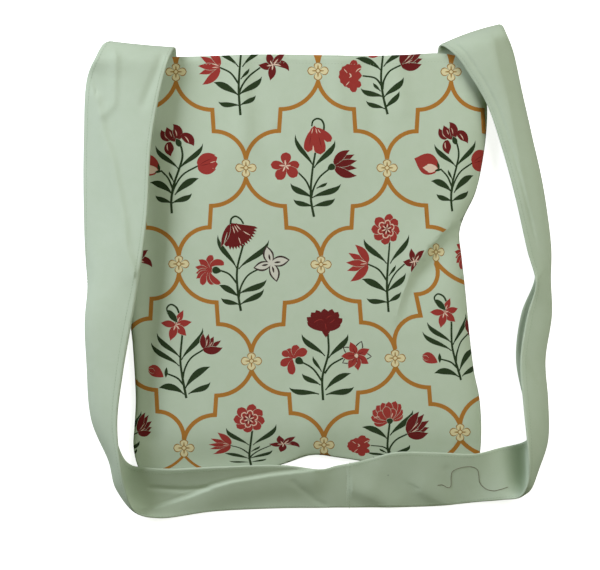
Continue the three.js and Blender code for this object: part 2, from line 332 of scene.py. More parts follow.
def frontHeight(x, y):
    across, up = panelPlace(x, y)
    fromMouth = np.clip((mouthLine(across) - y) / panels["mouthReach"], 0, 1)
    fromMouth = fromMouth * fromMouth * (3 - 2 * fromMouth)
    height = panels["front"] * (panels["mouthShare"] + (1 - panels["mouthShare"]) * fromMouth)
    for start, end, rise, width in panels["folds"]:
        distance, _ = segmentDistance(x, y, start, end)
        height = height + rise * np.exp(-(distance / width) ** 2)
    pleat = panels["pleat"]
    offset, share = lineSide(x, y, pleat["line"])
    before, behind = np.minimum(offset, 0), np.maximum(offset, 0)
    crest = pleat["crest"] * np.exp(-(before / pleat["crestWidth"]) ** 2)
    crest = crest * np.exp(-(behind / pleat["drop"]) ** 2)
    past = np.maximum(offset - pleat["drop"], 0)
    hollow = pleat["hollow"] * np.clip(offset / pleat["drop"], 0, 1)
    hollow = hollow * np.exp(-(past / pleat["hollowWidth"]) ** 2)
    fading = np.clip((1 - share) / pleat["fade"], 0, 1)
    height = height + (crest - hollow) * fading
    rise = edgeRise(x, y, across, up, panels["frontRoll"], panels["baseRoll"])
    return panels["seamHeight"] + panels["seamGap"] / 2 + rise * height


def backHeight(x, y):
    across, up = panelPlace(x, y)
    rise = edgeRise(x, y, across, up, panels["backRoll"], panels["backRoll"])
    return (panels["seamHeight"] - panels["seamGap"] / 2) * (1 - rise)


def heightNormal(height, x, y):
    step = 0.4
    dx = (height(x + step, y) - height(x - step, y)) / (2 * step)
    dy = (height(x, y + step) - height(x, y - step)) / (2 * step)
    normal = np.column_stack((-dx, -dy, np.ones(len(x))))
    return normal / np.linalg.norm(normal, axis=1)[:, None]


def stations(count, roundedStart, roundedEnd):  # shares from 0 to 1, closer together at rounded ends
    evenness = 0.25
    even = np.linspace(0, 1, count + 1)
    start, end = (0 if roundedStart else 0.5), (1 if roundedEnd else 0.5)

    def wave(at):
        return (1 - np.cos(np.pi * at)) / 2

    eased = (wave(start + (end - start) * even) - wave(start)) / (wave(end) - wave(start))
    return evenness * even + (1 - evenness) * eased


def hemmed(x, y):  # the wall, doubled in the hem
    across, _ = panelPlace(x, y)
    depth = np.clip((mouthLine(across) - y - panels["hemDepth"]) / panels["hemStep"], 0, 1)
    return panels["hemWall"] + (panels["wall"] - panels["hemWall"]) * depth


# The tables' middle is a little off the frame's: the CAD front says where it goes.
shares = np.linspace(0, 1, 400)
outlineX = np.concatenate((leftSide(shares), rightSide(shares)))
outlineY = np.concatenate((baseLine(shares), mouthLine(shares)))
frontLow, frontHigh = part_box("front_panel")
shift = np.array([(frontLow.x + frontHigh.x) / 2 / mm - (outlineX.min() + outlineX.max()) / 2,
                  (frontLow.y + frontHigh.y) / 2 / mm - (outlineY.min() + outlineY.max()) / 2, 0])
print("tables shifted by", shift.round(2))

# The print: a trellis of curved and stepped lines with a rosette at each crossing and a sprig in each cell

inks = {"trellis": "ad7428", "outline": "9c7530", "cream": "e0d5a4", "leaf": "203412", "coral": "9c3028",
        "dark": "660a08", "bark": "3a2d26", "pale": "e2c8b0", "white": "d0cfbd", "cloth": None}

trellis = {
    "stroke": 4.2,
    "seenFromEdge": {"E0-Fl": 0.66, "E0-F0": 0.66},   # thinner where the front turns down
    "cusp": 10.8, "lowerCusp": 8.8,                   # from a rosette's middle to the points beside it
    "usualRise": 96, "crossing": 1.2,                 # a line's height, and how far it passes its upper point
    "steps": {                                        # a step's two corners, as shares of the line's run
        "usual": ((0.52, 0.396), (0.54, 0.619)),
        "C2-D1": ((0.49, 0.4), (0.38, 0.6)),          # drawn askew by the pleat
    },
    "nodes": {
        "Zl": (-211, 295), "Z0": (-70, 295), "Z1": (70, 295), "Z2": (205, 295),
        "A0": (-140, 199), "A1": (2, 200), "A2": (135, 199),
        "Bl": (-211, 103), "B0": (-70, 103), "B1": (71, 103), "B2": (196, 103),
        "C0": (-137, 7), "C1": (5, 6.5), "Cr": (146, 8), "C2": (120, 19),
        "Dl": (-190, -81), "D0": (-64.5, -90), "D1": (79, -87), "D2": (211, -66),
        "E0": (-132, -177), "E1": (8, -174), "E2": (144, -161),
        # turned under at the base
        "Fl": (-204, -240), "F0": (-62, -240), "F1": (80, -236), "F2": (215, -224),
    },
    "lines": "Zl-A0 Z0-A0 Z0-A1 Z1-A1 Z1-A2 Z2-A2 A0-Bl A0-B0 A1-B0 A1-B1 A2-B1 A2-B2 Bl-C0 B0-C0 B0-C1 "
             "B1-C1 B1-Cr C0-Dl C0-D0 C1-D0 C1-D1 Dl-E0 D0-E0 D0-E1 D1-E1 D1-E2 E0-Fl E0-F0 E1-F0 E1-F1 "
             "E2-F1 E2-F2",
    "linesBehindPleat": "C2-D1 C2-D2 D2-E2",
    "rosettes": "A0 A1 A2 B0 B1 C0 C1 D0 D1 E0 E1 E2",
    "rosettesBehindPleat": "C2", "rosetteNarrowing": 0.8,
}

# Each sprig grows from the foot of its stem. Leaves: root, tip, width, and bend where they arch.
# Petals, in the order of printing: ink and form, then for each its foot, its heading there, its length and
# width, and how far it curls on its way to the tip, where it does.

def fan(foot, *rows):  # petals that share a foot
    return [(foot, *row) for row in rows]


def whorl(foot, length, width, headings):  # like petals that share a foot
    return [(foot, heading, length, width) for heading in headings]


def inset(petals, edge):  # the same petals, smaller by an edge all round
    return [(foot, heading, length - edge, width - 2 * edge, *curl)
            for foot, heading, length, width, *curl in petals]


whiteFoot, whiteCurl = (30.2, 47.5), -14
whitePetals = [(whiteFoot, heading, length, width, whiteCurl) for heading, length, width in (
    (112, 18.4, 11), (18, 19, 11), (-66, 19.4, 10.6), (201, 18.4, 10))]
# the white petals' veins: which way from the foot each one starts, and its heading
veinStart, veinLength, veinWidth = 3, 6.8, 1.9
whiteVeins = [
    ((whiteFoot[0] + veinStart * x, whiteFoot[1] + veinStart * y), heading, veinLength, veinWidth, whiteCurl)
    for x, y, heading in ((-0.3, 0.95, 108), (0.97, 0.2, 14), (0.35, -0.94, -70), (-0.97, -0.26, 197))]
starEdges = whorl((33, 44.4), 15.8, 8.4, (147, 69, -3, 208))
starHeadings = (113, 27, -33, -82, 239, 182)
sprigs = {
    "iris": {
        "stems": [[(0, 0), (-0.6, 12.5), (1.7, 27.8), (7.5, 45), (10.6, 56.5), (9.4, 66), (5.6, 74)],
                  [(0, 18), (2.6, 26), (11, 38.6), (26, 47.4)], [(0.6, 25), (-3.6, 35), (-11, 43)]],
        "leaves": [((0, 10), (-16.5, 18), 6), ((0, 10), (20, 20), 6.5), ((0.4, 19), (-22, 31), 8, 0.16),
                   ((3, 18.4), (27, 35), 8, 0.12), ((7, 44), (-16.5, 68), 6), ((7, 44), (31, 70), 6),
                   ((2, 31), (-2.6, 42), 3)],
        "petals": [
            ("dark round", [((4, 71.5), 122, 13, 11)]),
            ("dark pointed", [((-1.5, 73.2), 160, 14.5, 8, -58), ((0.4, 73), 118, 14.5, 8.4, -10),
                              ((4.6, 72.6), 62, 18.6, 10, 80)]),
            ("dark sliver", [((2, 76), 10, 9, 2)]),
            ("dark pointed", [((8.2, 77.8), -2, 18.6, 9.8, -72), ((-1.4, 71.6), 246, 15, 9.8, 52)]),
            ("leaf pointed", [((8.6, 66.5), 116, 9.5, 6)]),
            ("pale sliver", [((-4.4, 69.4), 256, 7, 1.1, 40), ((12.6, 77), -34, 8, 1, -44),
                             ((-4, 74.6), 150, 5, 0.8, -40), ((0, 76.4), 112, 6, 0.8),
                             ((5, 77), 92, 7, 0.9, 30)]),
            ("coral ruffle", [((26, 47.4), 14, 18.6, 18)]),
            ("coral pointed", [((25.8, 47.6), 64, 22, 8.8, -66), ((25.8, 47), -40, 19.6, 8.6, 62)]),
            ("coral lobe", [((25.8, 47.3), 24, 21.6, 7), ((25.8, 47.2), 6, 20.4, 7)]),
            ("dark sliver", [((28, 48.4), 40, 14, 0.6, -26), ((28, 47.4), 12, 13, 0.6, 4)]),
            ("pale sliver", [((38, 50.4), 16, 6, 0.7)]),
            ("coral pointed", [((-12.4, 43), 157, 29.5, 21.6)]),
            ("pale pointed", [((-14, 43.2), 174, 16.5, 7.4)]),
            ("pale sliver", [((-16, 45), 162, 10, 3), ((-16, 42), 190, 9.5, 3)]),
            ("leaf sliver", [((-12.4, 42), 100, 8, 2.6), ((-9.6, 42.6), 190, 8, 2.6)]),
        ],
    },
    "bell": {
        "stems": [[(0, 0), (-2.7, 14.4), (-3.3, 26), (-1.5, 47), (1.3, 64)],
                  [(9.4, 84), (9.9, 92), (7.4, 96.8), (3.2, 98.2), (-0.9, 96), (-2.4, 90.4)],
                  [(-3.3, 26), (-8, 36), (-17, 45.5)], [(-2.8, 19), (-0.6, 28), (5.6, 39.6), (16, 48.5)]],
        "leaves": [((-1, 10), (-20.5, 17.5), 6), ((-1, 10), (21, 18.5), 6.5),
                   ((-2, 19), (-23.5, 33.5), 7), ((-2, 19), (27, 33), 7),
                   ((2.5, 28.5), (13.4, 34.4), 3.6), ((0, 49), (-18.6, 82.5), 5.5),
                   ((0, 49), (21, 76.5), 6.5)],
        "petals": [
            ("coral lobe", [((0.4, 91.2), -89, 21, 18), ((-1.8, 89.6), 257, 25.4, 9.8, 6),
                            ((3.2, 89.4), -83, 27.4, 12.2), ((3.4, 89.4), -42, 19.6, 8, -8)]),
            ("pale sliver", [((-0.6, 63.6), 92, 8, 1.4)]),
            ("dark sliver", [((4.4, 82), -78, 14, 0.5, 6), ((-3, 82), 260, 11, 0.5, 4)]),
            ("pale sliver", [((-3.4, 87.8), 240, 5, 0.8), ((-1, 88.8), 256, 6, 0.8),
                             ((1.6, 88.8), -76, 6, 0.8), ((3.8, 87.8), -56, 5, 0.8)]),
            ("coral round", fan((-28.4, 51), (88, 13.6, 10.4), (5, 14, 8.8), (-43, 15.6, 10.6),
                                (-121, 16, 10.8), (175, 15, 9))),
            ("pale sliver", fan((-28.4, 51), (95, 6, 1.7), (5, 5.4, 1.5), (-48, 5, 1.5), (-116, 6.6, 1.5),
                                (175, 6.6, 1.5))),
            ("dark ruffle", [((19.6, 51), 6, 14, 14.6)]),
            ("dark pointed", [((20.2, 51.6), 33, 23, 7.2, -10), ((20.2, 51), -8, 23, 6.8, 4),
                              ((20.2, 51.4), 12, 23.4, 7), ((20, 52), 64, 22, 8, -42),
                              ((20, 50.4), -46, 25.4, 8.4, 48)]),
            ("leaf round", [((13.4, 47.6), 28, 8.4, 6.8)]),
        ],
    },
    "double": {
        "stems": [[(0, 0), (-1.7, 25), (-1.2, 40), (1.3, 70)], [(-1.5, 31), (-10, 42.4), (-21, 48)],
                  [(-1.6, 20), (1.4, 29), (8.6, 39), (20, 48)]],
        "leaves": [((-0.5, 9.5), (-22, 13.6), 6), ((-0.5, 9.5), (15.3, 20), 5.5),
                   ((-1.7, 19.8), (-26.7, 33), 8, 0.07), ((-1.7, 19.8), (21.3, 39), 7),
                   ((0.3, 36), (8.8, 47), 3.6), ((-2, 48.4), (-24.7, 73), 6.5),
                   ((2, 48.4), (25.3, 77.5), 6.5)],
        "petals": [
            ("coral round", whorl((-1.7, 82.8), 15.8, 10, (76, 33, -8, -46, -98, -141, 181, 136))),
            ("pale ruffle", whorl((-1.9, 82.8), 9.6, 6.4, range(20, 380, 60))),
            ("coral ruffle", whorl((-1.9, 82.8), 8.6, 4.6, range(20, 380, 60))),
            ("pale sliver", whorl((-1.9, 82.8), 5.6, 1.2, range(20, 380, 60))),
            ("dark sliver", whorl((-1.9, 82.8), 7, 1.4, range(50, 410, 60))),
            ("coral ruffle", [((-20.4, 48.2), 174, 14, 13)]),
            ("coral pointed", [((-21, 48.4), 151, 22, 6.8), ((-21, 47.8), 198, 21.6, 6.4),
                               ((-21, 48.2), 177, 21.6, 6.8), ((-20.6, 48.8), 106, 23, 8, 38),
                               ((-20.6, 47.6), 242, 25, 8, -36)]),
            ("pale sliver", [((-21.5, 48.4), 186, 7, 0.9), ((-21.5, 49.6), 164, 7, 0.9)]),
            ("dark pointed", [((33.5, 50.5), 200, 16, 7.6, -40), ((32.5, 51), 266, 16.5, 7.8, -12),
                              ((32.5, 50.5), 30, 20, 7, -104), ((32.5, 50), 125, 14.5, 7.6, -35),
                              ((32.5, 50), 58, 17, 6.6, -28)]),
            ("pale sliver", [((32, 50.5), 12, 9, 1.3, -40), ((33, 50.5), 190, 7, 1.3),
                             ((32.5, 51), 262, 6, 1.4), ((32.5, 49.5), 58, 9, 1.3, -10),
                             ((32.5, 49.5), 118, 6, 1.3)]),
        ],
    },
    "fringed": {
        "stems": [[(0, 0), (-2.8, 17), (-3.8, 41), (2.2, 66)],
                  [(-10.4, 86.4), (-9.6, 92), (-5.6, 94.6), (-0.6, 92), (2.6, 87)],
                  [(-3.6, 27), (-12, 37), (-22, 41)], [(-2.2, 13), (0, 24), (7, 35.6), (20, 43)]],
        "leaves": [((-1, 6), (-19.8, 13), 6), ((-1, 6), (23, 22), 6.5), ((-2, 14), (-21.8, 26), 7, 0.06),
                   ((-2, 17), (25.8, 31.6), 7), ((-4, 42), (-23, 76), 6), ((-2.2, 42), (28, 71), 6.5)],
        "petals": [
            ("dark fringe", [((-9.6, 88), -52, 27, 44)]),
            ("dark ruffle", [((-9.4, 87.6), 262, 24, 10, -10)]),
            ("dark pointed", [((-11, 87), 250, 25, 6.4, -2)]), ("dark ruffle", [((-5, 88), 306, 20, 9)]),
            ("cloth sliver", [((-13.6, 79), 256, 13, 0.8, -4)]),
            ("pale sliver", [((-8.4, 85), -74, 8, 0.9), ((-6.6, 85.6), -60, 8, 0.9),
                             ((-4.8, 86), -48, 7, 0.9), ((2, 80), -34, 9, 0.9, 8),
                             ((-2.6, 74), -70, 8, 0.8)]),
            ("coral round", [((-27, 41), 178, 13, 12), ((-33, 43), 88, 13.8, 7, -36)]),
            ("coral pointed", [((-33.4, 43), 120, 12.4, 7, 34), ((-33, 41.4), 168, 13, 6),
                               ((-33, 41), 195, 12.6, 6), ((-33, 40), 206, 14, 6.6, 15)]),
            ("coral round", [((-33.5, 39.4), 232, 14.8, 6.8, 38), ((-32, 39.5), 262, 14.4, 6.2, 55),
                             ((-31, 39.5), 275, 17.4, 5.8, 75), ((-31, 42), 80, 18.4, 6.6, -130)]),
            ("leaf round", [((-19.4, 39.8), 170, 9.6, 7.2)]),
            ("bark outlined", whitePetals), ("white outlined", inset(whitePetals, 1.7)),
            ("bark sliver", whiteVeins),
        ],
    },
    "hooked": {
        "stems": [[(0, 0), (-4.6, 25), (-6, 38.5), (-4, 64)],
                  [(-7, 84), (-10.1, 90.8), (-15.6, 93.5), (-19.4, 90.2), (-18.3, 84)],
                  [(-3.6, 19), (-1.6, 29), (4.6, 40), (17, 48.4)], [(-2.6, 13), (-9, 20), (-21, 25)]],
        "leaves": [((-2, 3.6), (-27.6, 10), 8, 0.2), ((2, 4), (24, 16), 6.5),
                   ((-1.2, 9.5), (24, 31.4), 8, 0.14), ((-7, 32), (-35.6, 55.5), 6),
                   ((-6, 40), (-29.6, 65), 6), ((-5, 38), (16.4, 70.3), 6)],
        "petals": [
            ("coral pointed", fan((-10.7, 73.3), (62, 16.6, 6.4), (10, 16.4, 7), (-46, 15.4, 7.8),
                                (251, 16.8, 8.2), (173, 15.2, 7))),
            ("pale sliver", fan((-10.7, 73.3), (62, 9, 1.1), (-50, 6, 1.3), (250, 6, 1.3), (12, 5, 1.1))),
            ("leaf pointed", [((-18.7, 88), -52, 16.5, 6.4)]),
            ("dark ruffle", [((17, 48.4), 28, 13, 9.6)]),
            ("dark pointed", [((24, 49.6), 40, 13.4, 4.2, -6), ((21.4, 49.4), 64, 13.6, 5.6),
                              ((19.6, 49.4), 80, 15, 5.4), ((17.6, 49.2), 102, 15.8, 6.2, -18),
                              ((16.2, 49.2), -22, 21, 8, 52)]),
            ("pale sliver", [((20, 52), 80, 7, 0.7), ((23, 51.4), 58, 6, 0.7)]),
            ("coral round", [((-22.8, 21), 146, 18, 11.4)]),
            ("coral pointed", [((-31.6, 25.4), 150, 8, 4.4)]),
            ("leaf sliver", [((-20.6, 20.4), 86, 10.5, 3.4)]),
        ],
    },
    "carnation": {
        "stems": [[(0, 0), (-0.6, 23), (5.4, 47), (5, 66)], [(-0.8, 18.6), (-10.4, 31.6), (-22, 38.5)],
                  [(1.6, 26.6), (8, 35), (20, 42)]],
        "leaves": [((-4, 6), (-34, 12.6), 6.5), ((3, 5.4), (31, 13.4), 7), ((-2.6, 15), (-21, 26.6), 6),
                   ((2.4, 10), (28, 26.8), 7, 0.13), ((-1.5, 28.4), (-10, 44), 4),
                   ((2, 44), (-21.3, 66), 6.5), ((5.6, 42), (25, 66), 6.5)],
        "petals": [
            ("dark ruffle", fan((2.6, 68), (152, 21, 6.5), (31, 17.6, 6.5), (142, 24, 7), (39, 21.6, 7),
                                (126, 24.4, 8), (58, 23.8, 8), (113, 24, 8), (74, 24, 8), (93, 23.4, 9))),
            ("dark ruffle", [((2.8, 66), 91, 20, 17), ((2.9, 62.4), 90, 14, 9.6)]),
            ("coral sliver", [((-6, 80), 20, 7, 0.6, -50), ((3, 81), 60, 7, 0.6, -60),
                              ((6, 77), 15, 7, 0.6, 40), ((-9, 77), 60, 6, 0.6, -60),
                              ((3, 70), 88, 7, 0.6, 20)]),
            ("coral round", [((-26, 41.4), 136, 14, 8.6, 8), ((-30, 42), 206, 14.5, 8, 8),
                             ((-30.4, 41), 250, 16, 8.2, 42), ((-27, 42), 102, 13.5, 8.6, -30),
                             ((-29, 43), 42, 15, 8.8, -36), ((-33, 44), 160, 9, 7, -30)]),
            ("leaf round", [((-19.3, 36.6), 150, 9.5, 7.4)]),
            ("bark outlined", starEdges), ("cloth outlined", inset(starEdges, 1.2)),
            ("coral pointed", whorl((33, 44.4), 15, 8, starHeadings)),
            ("dark sliver", whorl((33, 44.4), 9, 0.7, starHeadings)),
            ("pale round", [((31.2, 44.4), 0, 3.6, 3.6)]),
        ],
    },
    "peony": {
        "stems": [[(0, 0), (-4.5, 18.8), (-6.5, 36.6), (-4.5, 60)],
                  [(-5, 25), (-3.6, 34), (2, 43), (13, 49)]],
        "leaves": [((-2.7, 5.4), (-21.4, 13.4), 5.5), ((-2.7, 5.4), (11.6, 23), 6),
                   ((-3.6, 17), (-26.8, 26), 6.5), ((-3.6, 17), (16, 37), 7),
                   ((-7, 23), (-14.4, 31.6), 3.6), ((-6, 43.4), (-32, 56), 7, 0.14),
                   ((-4, 47.7), (18.8, 73), 7)],
        "petals": [
            ("coral round", fan((-4.5, 62.5), (192, 16, 8), (170, 19, 9), (150, 20, 9), (22, 14.5, 7.6),
                                (40, 17, 8), (131, 20, 8.6), (57, 20, 8), (113, 19.5, 8), (73, 20.5, 8),
                                (93, 19, 8))),
            ("coral round", [((-5.5, 63), 150, 13.5, 7.6, -20), ((-5, 63), 60, 12.5, 7.6, 20),
                             ((-5, 63), 105, 14, 8)]),
            ("pale sliver", [((-14, 66), 165, 7, 0.8, 50), ((-3, 65), 72, 6, 0.8)]),
            ("leaf round", [((-4.3, 58.5), 90, 6.5, 6.5)]), ("dark ruffle", [((13.4, 49.4), 38, 19, 16)]),
            ("dark pointed", [((13, 49), 14, 23, 8, 6), ((13, 49.4), 31, 25.6, 8),
                              ((13, 49.6), 49, 26, 8), ((13, 50), 74, 25, 8.6, -26),
                              ((13.4, 48.8), -18, 21.4, 8.4, 44)]),
            ("pale sliver", [((17, 53), 46, 11, 0.8), ((17, 50.6), 26, 9, 0.8)]),
        ],
    },
    "peonySpray": {
        "stems": [[(-5.4, 27.7), (-12, 36), (-25, 38.6)]],
        "leaves": [],
        "petals": [
            ("coral round", [((-25.5, 38.8), 180, 14, 15)]),
            ("coral ruffle", [((-36, 40), 70, 13.4, 7.6, -66), ((-36, 37), -70, 13.4, 7.4, 62),
                              ((-35.6, 41), 96, 14, 7.6, -50), ((-35.6, 36), 262, 14.6, 7.4, 46)]),
            ("coral ruffle", whorl((-36.6, 38.4), 12.6, 7.4, (108, 134, 160, 186, 212, 238, 258))),
            ("pale sliver", [((-36, 37), 100, 5, 1.2, 40), ((-38.6, 36.4), 30, 4, 1, 40),
                             ((-32, 42), 60, 8, 1, -50), ((-40, 41), 130, 6, 0.8),
                             ((-38, 33), 230, 6, 0.8)]),
        ],
    },
}

# Where each sprig stands, how it leans, how far the cloth's tilt shrinks its left, its right and its height,
# and how the cloth lies there, unless it is open: behind the pleat, or turned down at the base
sprigPlaces = [
    ("double", (-75.5, 155.5)), ("peony", (71.5, 156.5)), ("peonySpray", (71.5, 156.5)),
    ("iris", (-144, 57.5)), ("bell", (-2, 54)), ("iris", (136, 59.5), 2.5, (0.9, 0.85, 1)),
    ("double", (-212.5, -40.5)), ("fringed", (-75, -40)), ("double", (72.5, -41), 0, (1, 0.8, 1)),
    ("fringed", (178, -22), 4, (0.8, 0.8, 1), "behind"), ("hooked", (-129.5, -127)), ("carnation", (7, -129)),
    ("hooked", (145, -109), 5.7, (0.95, 0.7, 0.94), "behind"),
    ("peony", (-187, -213), 0, (0.82, 0.65, 1), "leftBase"),
    ("double", (-65, -231), 0, (1, 1, 1), "leftBase"), ("peony", (78, -212), 0, (1, 1, 1), "rightBase"),
    ("peonySpray", (80, -199.6), 0, (1, 1, 0.65)),
]
# where the front turns down to the base: below the first height the print is seen more and more from its
# edge, easing over the second
turnedDown = {"leftBase": (-145, 70), "rightBase": (-167, 28)}

# How full a petal is along its length: where it is fullest, how blunt its foot and its tip are (the less,
# the blunter), and the bare edge left round it
petalForms = {
    "pointed": (0.46, 0.62, 1.15, 0.3), "round": (0.62, 0.55, 0.5, 0.3), "ruffle": (0.66, 0.6, 0.45, 0.0),
    "sliver": (0.5, 0.85, 0.85, 0.0), "rosette": (0.62, 0.8, 0.55, 0.0), "lobe": (0.7, 0.42, 0.34, 0.0),
    "outlined": (0.48, 0.62, 0.95, 0.0),
}
fringeForm = {"teeth": 13, "notch": 0.88}


def petal(foot, heading, length, width, curl, form):
    fullest, footShape, tipShape, _ = petalForms[form]
    t = np.linspace(0, 1, 11)
    angle = np.radians(heading + curl * t)
    ahead = np.column_stack((np.cos(angle), np.sin(angle)))
    run = np.cumsum((ahead[1:] + ahead[:-1]) / 2, axis=0)
    spine = np.vstack(([(0, 0)], run)) * length / (len(t) - 1) + foot
    swell = np.abs(np.sin(np.pi * t ** (math.log(0.5) / math.log(fullest))))
    half = width / 2 * swell ** (footShape + (tipShape - footShape) * t)
    side = np.column_stack((-ahead[:, 1], ahead[:, 0])) * half[:, None]
    return np.vstack((spine[:1], (spine - side)[1:-1], spine[-1:], (spine + side)[-2:0:-1]))


def fringe(foot, heading, radius, spread):  # a fan with a toothed edge
    corners = 2 * fringeForm["teeth"] + 1
    angle = np.radians(np.linspace(heading - spread, heading + spread, corners))
    reach = radius * np.where(np.arange(corners) % 2, 1, fringeForm["notch"])
    return np.vstack(([(0, 0)], np.column_stack((reach * np.cos(angle), reach * np.sin(angle))))) + foot


def disc(radius, steps=12):
    angle = np.linspace(0, 2 * np.pi, steps, endpoint=False)
    return radius * np.column_stack((np.cos(angle), np.sin(angle)))


def placed(outline, at, lean, shrink):  # shrunk to the left, to the right and upward, then leant
    turn = math.radians(lean)
    cos, sin = math.cos(turn), math.sin(turn)
    shape = np.array(outline, float)
    shape *= np.column_stack((np.where(shape[:, 0] < 0, *shrink[:2]), np.full(len(shape), shrink[2])))
    return shape @ np.array([[cos, sin], [-sin, cos]]) + np.asarray(at)


def towardBase(outline, start, ease):
    below = np.maximum(start - outline[:, 1], 0)
    eased = ease * (1 - np.exp(-below / ease))
    return np.column_stack((outline[:, 0], outline[:, 1] + below - eased))


def petalShapes(ink, form, foot, heading, length, width, curl=0):  # a bare edge first, then the ink
    if form == "fringe":
        return [(ink, fringe(foot, heading, length, width))]
    edge = petalForms[form][3]
    shapes = [(ink, petal(foot, heading, length, width, curl, form))]
    if edge:
        shapes.insert(0, ("cloth", petal(foot, heading, length + edge, width + 2 * edge, curl, form)))
    return shapes


def stroke(points, width, tip=1.0):  # an outline round a line, tapering to a share of its width
    line = np.asarray(points, float)
    run = np.diff(line, axis=0)
    run /= np.linalg.norm(run, axis=1)[:, None]
    side = np.column_stack((-run[:, 1], run[:, 0]))
    mitre = np.vstack((side[:1], side[:-1] + side[1:], side[-1:]))
    mitre[1:-1] *= (2 / np.sum(mitre[1:-1] ** 2, axis=1))[:, None]
    half = np.linspace(width, width * tip, len(line))[:, None] / 2
    return np.vstack((line + mitre * half, (line - mitre * half)[::-1]))


greenery = {
    "mainStem": 2.5, "sideStem": 2.0, "stemTip": 0.8,
    "leafFullness": 0.86, "leafFoot": 0.6, "leafTip": 0.05, "leafFullestAt": 1.25,
    "leafTaper": (0.8, 0.4),  # how blunt its foot is, and how much sharper its tip
    "leafDip": -0.2, "leastArch": 0.05, "bendsAt": (0.35, 0.72),
    "swayFrom": 20,  # leaves shorter than this are straighter
}


def stemOutline(points):
    width = greenery["mainStem" if points[0] == (0, 0) else "sideStem"]
    return stroke(smoothLine(points)(np.linspace(0, 1, 4 * len(points))), width, greenery["stemTip"])


def leafOutline(root, tip, width, bend=greenery["leafDip"]):  # below zero it dips, above zero it arches
    root, tip = np.array(root, float), np.array(tip, float)
    reach = tip - root
    upward = np.array([-reach[1], reach[0]]) * (1 if reach[0] > 0 else -1)
    sway = min(1, float(np.linalg.norm(reach)) / greenery["swayFrom"])
    bends = zip(greenery["bendsAt"], (max(bend, greenery["leastArch"]), bend))
    near, far = (root + reach * share + upward * rise * sway for share, rise in bends)
    t = np.linspace(0, 1, 12)[:, None]
    spine = root * (1 - t) ** 3 + near * 3 * t * (1 - t) ** 2 + far * 3 * t * t * (1 - t) + tip * t ** 3
    across = np.gradient(spine, axis=0)
    across = np.column_stack((-across[:, 1], across[:, 0])) / np.linalg.norm(across, axis=1)[:, None]
    blunt, sharpening = greenery["leafTaper"]
    swell = np.sin(np.pi * t ** greenery["leafFullestAt"]) ** (blunt + sharpening * t)
    half = np.maximum(width * greenery["leafFullness"] / 2 * swell, greenery["leafFoot"] * (1 - t))
    half[-1] = greenery["leafTip"]
    return np.vstack((spine + across * half, (spine - across * half)[::-1]))


def trellisLine(pair):
    start, end = (np.array(trellis["nodes"][name], float) for name in pair.split("-"))
    run = end - start
    tall = abs(run[1]) / trellis["usualRise"]
    corners = trellis["steps"].get(pair, trellis["steps"]["usual"])
    shelf, ledge = (start + run * corner for corner in corners)
    top, low = start - (0, trellis["cusp"] * tall), end + (0, trellis["lowerCusp"] * tall)

    def quarter(cornerAt, tipAt):  # level at the corner of the step, steep at the tip
        reach = tipAt - cornerAt
        radius = (reach[0] ** 2 + reach[1] ** 2) / (2 * abs(reach[1]))
        angle = math.atan2(abs(reach[0]), radius - abs(reach[1])) * np.linspace(0, 1, 12)
        x = cornerAt[0] + np.sign(reach[0]) * radius * np.sin(angle)
        return np.column_stack((x, cornerAt[1] + np.sign(reach[1]) * radius * (1 - np.cos(angle))))

    upper, lower = quarter(shelf, top)[::-1], quarter(ledge, low)
    past = upper[0] - upper[1]
    upper[0] += past / np.linalg.norm(past) * trellis["crossing"]  # two lines cross in a point
    return stroke(np.vstack((upper, lower)), trellis["stroke"] * trellis["seenFromEdge"].get(pair, 1))


rosetteForm = {
    "petals": ((0, 10.8), (90, 8.8), (180, 10.8), (270, 9.8)),  # heading, length
    "width": 8.6, "edge": 0.85, "veinLength": 6.4, "veinWidth": 1.3, "ring": 2.6, "eye": 1.7,
}


def rosette():  # four outlined petals, each with a vein, round a ringed middle
    parts = []
    edge, width = rosetteForm["edge"], rosetteForm["width"]
    for heading, length in rosetteForm["petals"]:
        parts.append(("outline", petal((0, 0), heading, length, width, 0, "rosette")))
        parts.append(("cream", petal((0, 0), heading, length - edge, width - 2 * edge, 0, "rosette")))
    for heading, _ in rosetteForm["petals"]:
        vein = petal((0, 0), heading, rosetteForm["veinLength"], rosetteForm["veinWidth"], 0, "sliver")
        parts.append(("outline", vein))
    return parts + [("outline", disc(rosetteForm["ring"])), ("cream", disc(rosetteForm["eye"]))]


def printedSprig(kind, foot, lean=0, shrink=(1, 1, 1), lies="open"):
    sprig = sprigs[kind]
    parts = [("leaf", stemOutline(points)) for points in sprig["stems"]]
    parts += [("leaf", leafOutline(*leaf)) for leaf in sprig["leaves"]]
    for inkAndForm, petals in sprig["petals"]:
        for row in petals:
            parts += petalShapes(*inkAndForm.split(), *row)
    shapes = []
    for ink, outline in parts:
        outline = placed(outline, foot, lean, shrink)
        if lies in turnedDown:
            outline = towardBase(outline, *turnedDown[lies])
        shapes.append((ink, outline, lies == "behind"))
    return shapes


def wholePrint():  # (ink, outline, behind the pleat), in the order of printing
    shapes = []
    for key, behind in (("lines", False), ("linesBehindPleat", True)):
        shapes += [("trellis", trellisLine(pair), behind) for pair in trellis[key].split()]
    for key, behind in (("rosettes", False), ("rosettesBehindPleat", True)):
        narrowing = trellis["rosetteNarrowing"] if behind else 1
        for name in trellis[key].split():
            for ink, outline in rosette():
                outline = placed(outline, trellis["nodes"][name], 0, (narrowing, narrowing, 1))
                shapes.append((ink, outline, behind))
    for row in sprigPlaces:
        shapes += printedSprig(*row)
    return shapes


def signedArea(outline):
    x, y = np.asarray(outline).T
    return 0.5 * np.sum(x * np.roll(y, -1) - y * np.roll(x, -1))


# The front: its plan is cut along every printed outline, so that the print is crisp, and then lofted

